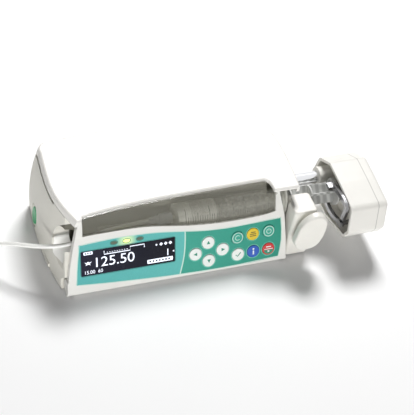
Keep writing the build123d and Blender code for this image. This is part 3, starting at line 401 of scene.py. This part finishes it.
USE = dict(base_shell="case", left_end_cap="cap", top_cover="cover", rear_plate="alu", battery_cover="case",
           battery_pack="battery", rubber_feet="rubber", housing_screws="steel", hinge_pins="steel", chassis="chassis",
           drive_bushing="bronze", guide_rod="steel", screw_bearings="steel", gear_motor="motor", main_board="board",
           speaker="black", rear_sockets="black", syringe_barrel="barrel", luer_connector="connector",
           line_end_connector="connector", holder_base="holder", door_frame="door", door_window="window",
           keypad_overlay="overlay", display_glass="display", display_module="black", status_lights="lights",
           door_board="board", door_back_cover="door", drive_tube="chrome", carriage="alu", drive_nut="brass",
           head_housing="head", head_cap="head", pressure_plate="dark_chrome", claw_pin="dark_chrome",
           plunger_rod="rod", syringe_stopper="stopper", claw_upper="dark_chrome", claw_lower="dark_chrome",
           lead_screw="thread", screw_gear="gear", motor_pinion="brass", holder_shaft="steel", holder_paddle="holder",
           release_button="lock", head_button="head")
for node, key in USE.items():
    NODES[node].material_slots[0].material = MAT[key]
for node, rgb in KEYCOL.items():
    NODES[node].material_slots[0].material = key_material(node + "_cap", rgb)

# ------------------------------------------------------------------ infusion line
ROUTE = [(-22, -22, 40), (-46, -22.6, 39.6), (-70, -26.6, 38.6), (-94, -31.2, 36.4),
         (-114, -24.4, 33.2), (-132, -11.6, 27.6), (-147, -0.6, 17.5), (-159, 9.0, 7.2),
         (-171, 18.5, 2.0), (-183, 30.0, 1.7), (-190.6, 46.0, 1.7)]
TAIL = [(-145.8, 34.0, 10.4), (-145.8, 25.0, 7.0), (-145.8, 17.0, 4.4)]
COIL = (-168.0, 47.0)


def coil_point(t):
    """Point after t turns: four layers of three turns, laid in, out, in and out."""
    layer = min(3, int(t / 2.625))
    q = t - layer * 2.625
    inward = 22.4 - 3.4 * min(q, 2.0)
    outward = 15.6 + 3.4 * min(q, 2.0)
    r = inward if layer % 2 == 0 else outward
    z = 1.7 + 3.4 * layer
    if q > 2.0 and layer < 3:
        z += 3.4 * (q - 2.0) / 0.625
    a = pi - 2 * pi * t
    return (COIL[0] + r * 1.012 * cos(a), COIL[1] + r * 1.012 * sin(a), z)


points = list(ROUTE)
steps = int(10.5 * 16)
points += [coil_point(i / 16.0) for i in range(1, steps + 1)]
points += TAIL
curve = bpy.data.curves.new("infusion_line_run", "CURVE")
curve.dimensions = "3D"
spline = curve.splines.new("NURBS")
spline.points.add(len(points) - 1)
for p, q in zip(spline.points, points):
    p.co = (q[0] / 1000, q[1] / 1000, q[2] / 1000, 1.0)
spline.order_u = 3
spline.use_endpoint_u = True
curve.resolution_u = 6
curve.bevel_depth = 0.0017
curve.bevel_resolution = 5
curve.use_fill_caps = True
line = bpy.data.objects.new("infusion_line_run", curve)
scene.collection.objects.link(line)
curve.materials.append(MAT["line"])
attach(line, "housing")
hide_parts("infusion_line", "line_coil")


# ------------------------------------------------------------------ mesh helpers
def new_piece(name, bm, mat, body, smooth=False, bevel=0.0):
    me = bpy.data.meshes.new(name)
    bmesh.ops.recalc_face_normals(bm, faces=bm.faces[:])
    if smooth:
        for f in bm.faces:
            f.smooth = True
    bm.to_mesh(me)
    bm.free()
    ob = bpy.data.objects.new(name, me)
    scene.collection.objects.link(ob)
    me.materials.append(mat)
    if bevel:
        b = ob.modifiers.new("edge", "BEVEL")
        b.width = bevel
        b.segments = 2
        b.limit_method = "ANGLE"
    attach(ob, body)
    return ob


DC, DS = cos(radians(24)), sin(radians(24))


def D(u, s, h=0.0):
    """Door point: millimetres along, up the slope and proud of the face, as metres."""
    return Vector((u / 1000, (-56 + DS * s - DC * h) / 1000, (2 + DC * s + DS * h) / 1000))


def prism(bm, outline, h0, h1, place=D):
    """Closed plate between two heights from a list of outline points."""
    lo = [bm.verts.new(place(u, s, h0)) for u, s in outline]
    hi = [bm.verts.new(place(u, s, h1)) for u, s in outline]
    n = len(outline)
    bm.faces.new(hi)
    bm.faces.new(lo[::-1])
    for i in range(n):
        j = (i + 1) % n
        bm.faces.new((lo[i], lo[j], hi[j], hi[i]))


def ribbon(bm, path, width, h0, h1, closed=False, place=D):
    """Flat ribbon of constant width along a path, as a closed solid."""
    n = len(path)
    left, rightp = [], []
    for i, (u, s) in enumerate(path):
        a = path[(i - 1) % n] if (closed or i > 0) else path[i]
        b = path[(i + 1) % n] if (closed or i < n - 1) else path[i]
        tx, ty = b[0] - a[0], b[1] - a[1]
        m = sqrt(tx * tx + ty * ty) or 1.0
        nx, ny = -ty / m * width / 2, tx / m * width / 2
        left.append((u + nx, s + ny))
        rightp.append((u - nx, s - ny))
    rings = []
    for (lu, ls), (ru, rs) in zip(left, rightp):
        rings.append([bm.verts.new(place(lu, ls, h0)), bm.verts.new(place(lu, ls, h1)),
                      bm.verts.new(place(ru, rs, h1)), bm.verts.new(place(ru, rs, h0))])
    last = n if closed else n - 1
    for i in range(last):
        A, B = rings[i], rings[(i + 1) % n]
        for k in range(4):
            bm.faces.new((A[k], A[(k + 1) % 4], B[(k + 1) % 4], B[k]))
    if not closed:
        bm.faces.new(rings[0])
        bm.faces.new(rings[-1][::-1])


def arc(cu, cs, r, a0, a1, n=24):
    return [(cu + r * cos(radians(a0 + (a1 - a0) * i / n)), cs + r * sin(radians(a0 + (a1 - a0) * i / n))) for i in range(n + 1)]


def smooth_path(pts, per=8):
    """Catmull-Rom through the points."""
    out = []
    for i in range(len(pts) - 1):
        p0, p1, p2, p3 = pts[max(i - 1, 0)], pts[i], pts[i + 1], pts[min(i + 2, len(pts) - 1)]
        for k in range(per):
            t = k / per
            out.append(tuple(0.5 * ((2 * p1[a]) + (-p0[a] + p2[a]) * t + (2 * p0[a] - 5 * p1[a] + 4 * p2[a] - p3[a]) * t * t
                       + (-p0[a] + 3 * p1[a] - 3 * p2[a] + p3[a]) * t ** 3) for a in (0, 1)))
    out.append(pts[-1])
    return out


def digits(name, text, u, s, height, mat, body="door", slot="display", h=0.03, spread=1.0):
    """Plain numerals laid on the door face."""
    fc = bpy.data.curves.new(name + "_type", "FONT")
    fc.body = text
    fc.size = height / 0.70
    fc.extrude = 0.02
    fo = bpy.data.objects.new(name + "_type", fc)
    scene.collection.objects.link(fo)
    bpy.context.view_layer.update()
    me = bpy.data.meshes.new_from_object(fo)
    for v in me.vertices:
        v.co = D(u + v.co.x * spread, s + v.co.y, h + v.co.z)
    bpy.data.objects.remove(fo)
    ob = bpy.data.objects.new(name, me)
    scene.collection.objects.link(ob)
    me.materials.clear()
    me.materials.append(mat)
    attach(ob, body)
    return ob


# ------------------------------------------------------------------ overlay graphics
MINT = plastic("print_mint", (196, 226, 214), 0.4, 0.04, 1500, 0.05)
PRINT_GREEN = plastic("print_green", (30, 140, 112), 0.4, 0.06, 1500, 0.05)
PRINT_WHITE = plastic("print_white", (240, 246, 242), 0.4, 0.04, 1500, 0.05)
PRINT_DARK = plastic("print_dark", (90, 84, 30), 0.45, 0.06, 1500, 0.05)

bm = bmesh.new()
ribbon(bm, smooth_path([(3.2, 42.0), (3.2, 34), (2.7, 25), (1.4, 16), (-1.3, 5.0)]), 1.1, -0.02, 0.05)
new_piece("overlay_divider", bm, MINT, "door")

outline = smooth_path([(-88.0, 10.2), (-60, 7.8), (-20, 5.3), (0, 4.5), (40, 3.9), (85.0, 5.7)])
outline += [(86.4, 12), (87.6, 20), (87.6, 30), (86.7, 40.2)]
outline += smooth_path([(86.0, 40.1), (60, 39.2), (40, 38.7), (20, 39.7), (0, 42.2), (-20, 44.7), (-40, 45.7), (-60, 45.7), (-85.0, 44.2)])
outline += [(-86.2, 34), (-87.4, 22)]
bm = bmesh.new()
ribbon(bm, outline, 0.7, -0.02, 0.06, closed=True)
new_piece("overlay_border", bm, MINT, "door")

# thin bezel line round the display
bm = bmesh.new()
rect = []
for cu, cs, a in ((-7.0, 37.0, 0), (-82.5, 37.0, 90), (-82.5, 18.5, 180), (-7.0, 18.5, 270)):
    rect += arc(cu, cs, 1.9, a, a + 90, 6)
ribbon(bm, rect, 0.45, -0.02, 0.05, closed=True)
new_piece("display_bezel_line", bm, plastic("bezel_teal", (34, 120, 112), 0.4, 0.05), "door")

# ------------------------------------------------------------------ display content
LIT = glow("display_segments", (232, 238, 250), 0.75)


def L(a, b):
    """Display fraction to door millimetres."""
    return (-84 + 78.5 * a, 17 + 21.5 * b)


def lcd_piece(name, draw):
    b = bmesh.new()
    draw(b)
    new_piece(name, b, LIT, "door")


lcd_piece("display_profile", lambda b: ribbon(b, [L(.245, .90), L(.245, .765), L(.52, .765), L(.52, .915), L(.67, .915), L(.67, .79)], 0.7, 0.0, 0.05))


def draw_profile_dots(b):
    for i in range(9):
        a = 0.275 + i * 0.026
        prism(b, [L(a, .815), L(a + .009, .815), L(a + .009, .845), L(a, .845)], 0, 0.05)


lcd_piece("display_profile_dots", draw_profile_dots)


def draw_diamonds(b):
    for i in range(4):
        a, k = 0.80 + i * 0.05, (0.6 if i == 0 else 1.0)
        c = L(a, .80)
        prism(b, [(c[0] - 1.5 * k, c[1]), (c[0], c[1] - 1.5 * k), (c[0] + 1.5 * k, c[1]), (c[0], c[1] + 1.5 * k)], 0, 0.05)


lcd_piece("display_flow_marks", draw_diamonds)


def rounded(a0, b0, a1, b1, r):
    (x0, y0), (x1, y1) = L(a0, b0), L(a1, b1)
    out = []
    for cx, cy, a in ((x1 - r, y1 - r, 0), (x0 + r, y1 - r, 90), (x0 + r, y0 + r, 180), (x1 - r, y0 + r, 270)):
        out += arc(cx, cy, r, a, a + 90, 5)
    return out


lcd_piece("display_battery", lambda b: (prism(b, rounded(.030, .845, .125, .965, .7), 0, 0.04)))
lcd_piece("display_unit_box", lambda b: (prism(b, rounded(.70, .075, .975, .235, .6), 0, 0.04)))


def draw_drop(b):
    c = L(.075, .50)
    prism(b, [(c[0] - 3.0, c[1] + 1.2), (c[0] - 1.0, c[1] + .6), (c[0], c[1] + 1.6), (c[0] + 1.0, c[1] + .6), (c[0] + 3.0, c[1] + 1.2),
              (c[0] + 1.4, c[1] - .5), (c[0] + 2.0, c[1] - 1.8), (c[0], c[1] - .8), (c[0] - 2.0, c[1] - 1.8), (c[0] - 1.4, c[1] - .5)], 0, 0.05)
    m = L(.985, .44)
    prism(b, [(m[0] - 1.0, m[1]), (m[0] + .4, m[1] - .9), (m[0] + .4, m[1] + .9)], 0, 0.05)


lcd_piece("display_symbols", draw_drop)
digits("display_rate", "125.50", *L(.125, .30), 8.3, LIT, spread=1.08)
digits("display_count", "1", *L(.895, .30), 5.8, LIT)
digits("display_volume", "15.00  60", *L(.03, .07), 2.9, LIT)
DARKSEG = plastic("display_dark_segments", (40, 44, 60), 0.4, 0.06)


def draw_unit_ticks(b):
    for i in range(7):
        a = 0.722 + i * 0.034
        prism(b, [L(a, .12), L(a + .019, .12), L(a + .019, .19), L(a, .19)], 0.03, 0.07)
    for i in range(3):
        a = .045 + i * .024
        prism(b, [L(a, .875), L(a + .014, .875), L(a + .014, .935), L(a, .935)], 0.03, 0.07)


b_ = bmesh.new()
draw_unit_ticks(b_)
new_piece("display_dark_marks", b_, DARKSEG, "door")

# ------------------------------------------------------------------ key faces
TOP = 0.70


def ring(bm, at, r, w, a0=0, a1=360, h=(TOP - 0.02, TOP + 0.05)):
    if a1 - a0 >= 360:
        ribbon(bm, arc(at[0], at[1], r, 0, 348.75, 31), w, h[0], h[1], closed=True)
    else:
        ribbon(bm, arc(at[0], at[1], r, a0, a1, 20), w, h[0], h[1])


def tri(bm, at, r, a, h=(TOP - 0.02, TOP + 0.05), squash=1.0):
    prism(bm, [(at[0] + r * cos(radians(a + k)) * (squash if k else 1), at[1] + r * sin(radians(a + k)) * (squash if k else 1)) for k in (0, 128, 232)], *h)


def bar_on(bm, at, w, hh, du=0.0, ds=0.0, h=(TOP - 0.02, TOP + 0.05)):
    prism(bm, [(at[0] + du - w / 2, at[1] + ds - hh / 2), (at[0] + du + w / 2, at[1] + ds - hh / 2),
               (at[0] + du + w / 2, at[1] + ds + hh / 2), (at[0] + du - w / 2, at[1] + ds + hh / 2)], *h)


for key, ang in (("key_up", 90), ("key_down", 270), ("key_left", 180), ("key_right", 0)):
    b_ = bmesh.new()
    tri(b_, KEYAT[key], 1.9, ang)
    new_piece(key + "_mark", b_, PRINT_GREEN, key)
b_ = bmesh.new(); ring(b_, KEYAT["key_clear"], 4.35, 0.7); ring(b_, KEYAT["key_clear"], 2.0, 0.6, 40, 320)
new_piece("key_clear_mark", b_, MINT, "key_clear")
b_ = bmesh.new(); ring(b_, KEYAT["key_power"], 4.35, 0.7); ring(b_, KEYAT["key_power"], 2.0, 0.6, 120, 420); bar_on(b_, KEYAT["key_power"], 0.6, 2.2, 0, 1.6)
new_piece("key_power_mark", b_, MINT, "key_power")
b_ = bmesh.new()
for ds in (-1.4, 0.2, 1.8):
    bar_on(b_, KEYAT["key_bolus"], 5.4 if ds != 1.8 else 4.2, 0.75, 0, ds)
new_piece("key_bolus_mark", b_, PRINT_DARK, "key_bolus")
b_ = bmesh.new(); c_ = KEYAT["key_ok"]
ribbon(b_, [(c_[0] - 2.1, c_[1] + 0.1), (c_[0] - 0.6, c_[1] - 1.5), (c_[0] + 2.3, c_[1] + 1.7)], 0.8, TOP - 0.02, TOP + 0.05)
new_piece("key_ok_mark", b_, PRINT_GREEN, "key_ok")
b_ = bmesh.new(); bar_on(b_, KEYAT["key_info"], 1.2, 3.4, 0, -0.9); ring(b_, (KEYAT["key_info"][0], KEYAT["key_info"][1] + 2.3), 0.4, 0.8)
new_piece("key_info_mark", b_, PRINT_WHITE, "key_info")
b_ = bmesh.new(); c_ = KEYAT["key_start_stop"]
prism(b_, arc(c_[0], c_[1] - 0.2, 4.2, 188, 352, 20), TOP - 0.02, TOP + 0.04)
new_piece("key_start_field", b_, PRINT_GREEN, "key_start_stop")
b_ = bmesh.new()
bar_on(b_, c_, 7.6, 0.6)
bar_on(b_, c_, 4.4, 0.9, 0, 2.0)
tri(b_, (c_[0], c_[1] - 2.0), 1.2, 0, (TOP + 0.02, TOP + 0.07))
new_piece("key_start_stop_mark", b_, PRINT_WHITE, "key_start_stop")

# raised mint rims round the green keys' holes are part of the print
b_ = bmesh.new()
for key in ("key_up", "key_down", "key_left", "key_right", "key_ok", "key_bolus", "key_info", "key_start_stop"):
    ribbon(b_, arc(KEYAT[key][0], KEYAT[key][1], 5.95, 0, 350, 35), 0.5, -0.02, 0.05, closed=True)
new_piece("overlay_key_rings", b_, plastic("print_ring", (120, 205, 184), 0.4, 0.05), "door")

# light surrounds
b_ = bmesh.new()
for cu in (-56.5, -46, -35):
    ribbon(b_, [(cu + 3.1 * cos(2 * pi * i / 24), 42 + 1.7 * sin(2 * pi * i / 24)) for i in range(24)], 0.5, -0.02, 0.08, closed=True)
new_piece("status_light_rims", b_, plastic("rim_green", (40, 110, 90), 0.4, 0.05), "door")

# ------------------------------------------------------------------ syringe graduations
SY, SZ = -22.0, 40.0


def B(u, s, h=0.0):
    """Barrel point: millimetres along, degrees round from the front, proud of the wall."""
    a = radians(s)
    r = 10.75 + h
    return Vector((u / 1000, (SY - r * cos(a)) / 1000, (SZ + r * sin(a)) / 1000))


b_ = bmesh.new()
for i in range(0, 41):
    x = 6 + i * 2.05
    wide = 62 if i % 10 == 0 else (40 if i % 5 == 0 else 26)
    path = [(x, 10 + wide * k / 8) for k in range(9)]
    for k in range(8):
        a0, a1 = path[k][1], path[k + 1][1]
        q = [(x - 0.22, a0), (x + 0.22, a0), (x + 0.22, a1), (x - 0.22, a1)]
        prism(b_, q, 0.0, 0.06, place=B)
new_piece("barrel_graduations", b_, plastic("print_black", (52, 54, 58), 0.5, 0.06), "housing")

# ------------------------------------------------------------------ line end and coil tie
def lathe(bm, profile, centre, axis="Y", n=28):
    """Turned solid: (distance along -Y, radius) in millimetres."""
    rings = []
    for d, r in profile:
        rr = []
        for i in range(n):
            a = 2 * pi * i / n
            rr.append(bm.verts.new(Vector(((centre[0] + r * cos(a)) / 1000, (centre[1] - d) / 1000, (centre[2] + r * sin(a)) / 1000))))
        rings.append(rr)
    for A, C in zip(rings, rings[1:]):
        for i in range(n):
            j = (i + 1) % n
            bm.faces.new((A[i], A[j], C[j], C[i]))
    bm.faces.new(rings[0][::-1])
    bm.faces.new(rings[-1])


b_ = bmesh.new()
prof = [(0, 2.4), (0.6, 2.9), (5.0, 3.0), (6.5, 3.0), (8.0, 3.9), (8.6, 4.25)]
for i in range(5):
    prof += [(9.6 + i * 1.7, 4.25), (9.9 + i * 1.7, 3.9), (10.7 + i * 1.7, 3.9), (11.0 + i * 1.7, 4.25)]
prof += [(18.6, 4.2), (19.0, 3.8)]
lathe(b_, prof, (-145.8, 17.0, 4.4))
end = new_piece("line_end_fitting", b_, MAT["connector"], "housing", smooth=False)
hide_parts("line_end_connector")

b_ = bmesh.new()
for ang in (-62,):
    ca, sa = cos(radians(ang)), sin(radians(ang))
    tx, ty = -sa, ca
    prof = []
    for cx, cz, a in ((24.2, 13.2, 0), (14.2, 13.2, 90), (14.2, 0.6, 180), (24.2, 0.6, 270)):
        for k in range(6):
            t = radians(a + 90 * k / 5)
            prof.append((cx + 0.35 * cos(t), cz + 0.35 * sin(t)))
    n = len(prof)
    rings = []
    for w in (-2.2, -1.8, 1.8, 2.2):
        k = 0.0 if abs(w) < 2 else -0.15
        rings.append([bm_v for bm_v in (b_.verts.new(Vector(((COIL[0] + r * ca + tx * w) / 1000, (COIL[1] + r * sa + ty * w) / 1000, max(z, 0.05) / 1000))) for r, z in prof)])
    inner = []
    for w in (-2.2, 2.2):
        inner.append([b_.verts.new(Vector(((COIL[0] + (19.2 + (r - 19.2) * 0.93) * ca + tx * w) / 1000, (COIL[1] + (19.2 + (r - 19.2) * 0.93) * sa + ty * w) / 1000, (6.9 + (max(z, 0.05) - 6.9) * 0.95) / 1000))) for r, z in prof])
    for A, C in zip(rings, rings[1:]):
        for i in range(n):
            b_.faces.new((A[i], A[(i + 1) % n], C[(i + 1) % n], C[i]))
    for A, C in ((inner[0], rings[0]), (rings[-1], inner[1]), (inner[1], inner[0])):
        for i in range(n):
            b_.faces.new((A[i], A[(i + 1) % n], C[(i + 1) % n], C[i]))
tie = new_piece("coil_tie", b_, plastic("tie_paper", (238, 238, 232), 0.6, 0.05), "housing", smooth=False)

# ------------------------------------------------------------------ small hardware
def W(f):
    return lambda u, s, h=0.0: Vector(f(u, s, h)) / 1000.0


# contacts inside the rear sockets
b_ = bmesh.new()
for cx, n_, gap in ((-71.5, 3, 2.6), (-54.5, 5, 1.5)):
    for i in range(n_):
        x = cx + (i - (n_ - 1) / 2) * gap
        prism(b_, arc(x, 24, 0.45, 0, 324, 9), 52.4, 56.0, place=W(lambda u, s, h: (u, h, s)))
new_piece("socket_contacts", b_, MAT["brass"], "housing")

# ------------------------------------------------------------------ floor and light
fm = Nodes("floor_paper")
fcol = fm.mix(fm.remap(fm.noise(9, 3), 0, 1), (0.955, 0.955, 0.955, 1), (0.965, 0.965, 0.965, 1))
fm.colour(fcol)
fm.t.links.new(fm.remap(fm.noise(60, 2), 0.85, 0.95), fm.bsdf.inputs["Roughness"])
fm.bsdf.inputs["Specular IOR Level"].default_value = 0.0
b_ = bmesh.new()
bmesh.ops.create_grid(b_, x_segments=2, y_segments=2, size=4.0)
me = bpy.data.meshes.new("floor")
b_.to_mesh(me)
b_.free()
floor = bpy.data.objects.new("floor", me)
me.materials.append(fm.mat)
scene.collection.objects.link(floor)

world = bpy.data.worlds.new("studio")
world.use_nodes = True
wt = world.node_tree
bg = wt.nodes["Background"]
bg.inputs[0].default_value = (1.0, 1.0, 1.0, 1)
lp = wt.nodes.new("ShaderNodeLightPath")
ws = wt.nodes.new("ShaderNodeMath")
ws.operation = "MULTIPLY_ADD"
wt.links.new(lp.outputs["Is Glossy Ray"], ws.inputs[0])
ws.inputs[1].default_value = 0.82
ws.inputs[2].default_value = 0.12
wt.links.new(ws.outputs[0], bg.inputs[1])
scene.world = world


def area(name, loc, target, size, energy, col=(1, 1, 1)):
    ld = bpy.data.lights.new(name, "AREA")
    ld.shape = "RECTANGLE"
    ld.size, ld.size_y = size
    ld.energy = energy
    ld.color = col
    o = bpy.data.objects.new(name, ld)
    o.location = loc
    o.rotation_euler = (Vector(target) - Vector(loc)).to_track_quat("-Z", "Y").to_euler()
    scene.collection.objects.link(o)


area("softbox_above_back", (0.45, 0.90, 1.45), (0.0, 0.0, 0.0), (0.55, 0.45), 33.0)
area("fill_front_left", (-0.5, -1.7, 0.26), (0.0, 0.0, 0.04), (1.4, 0.22), 23.0)
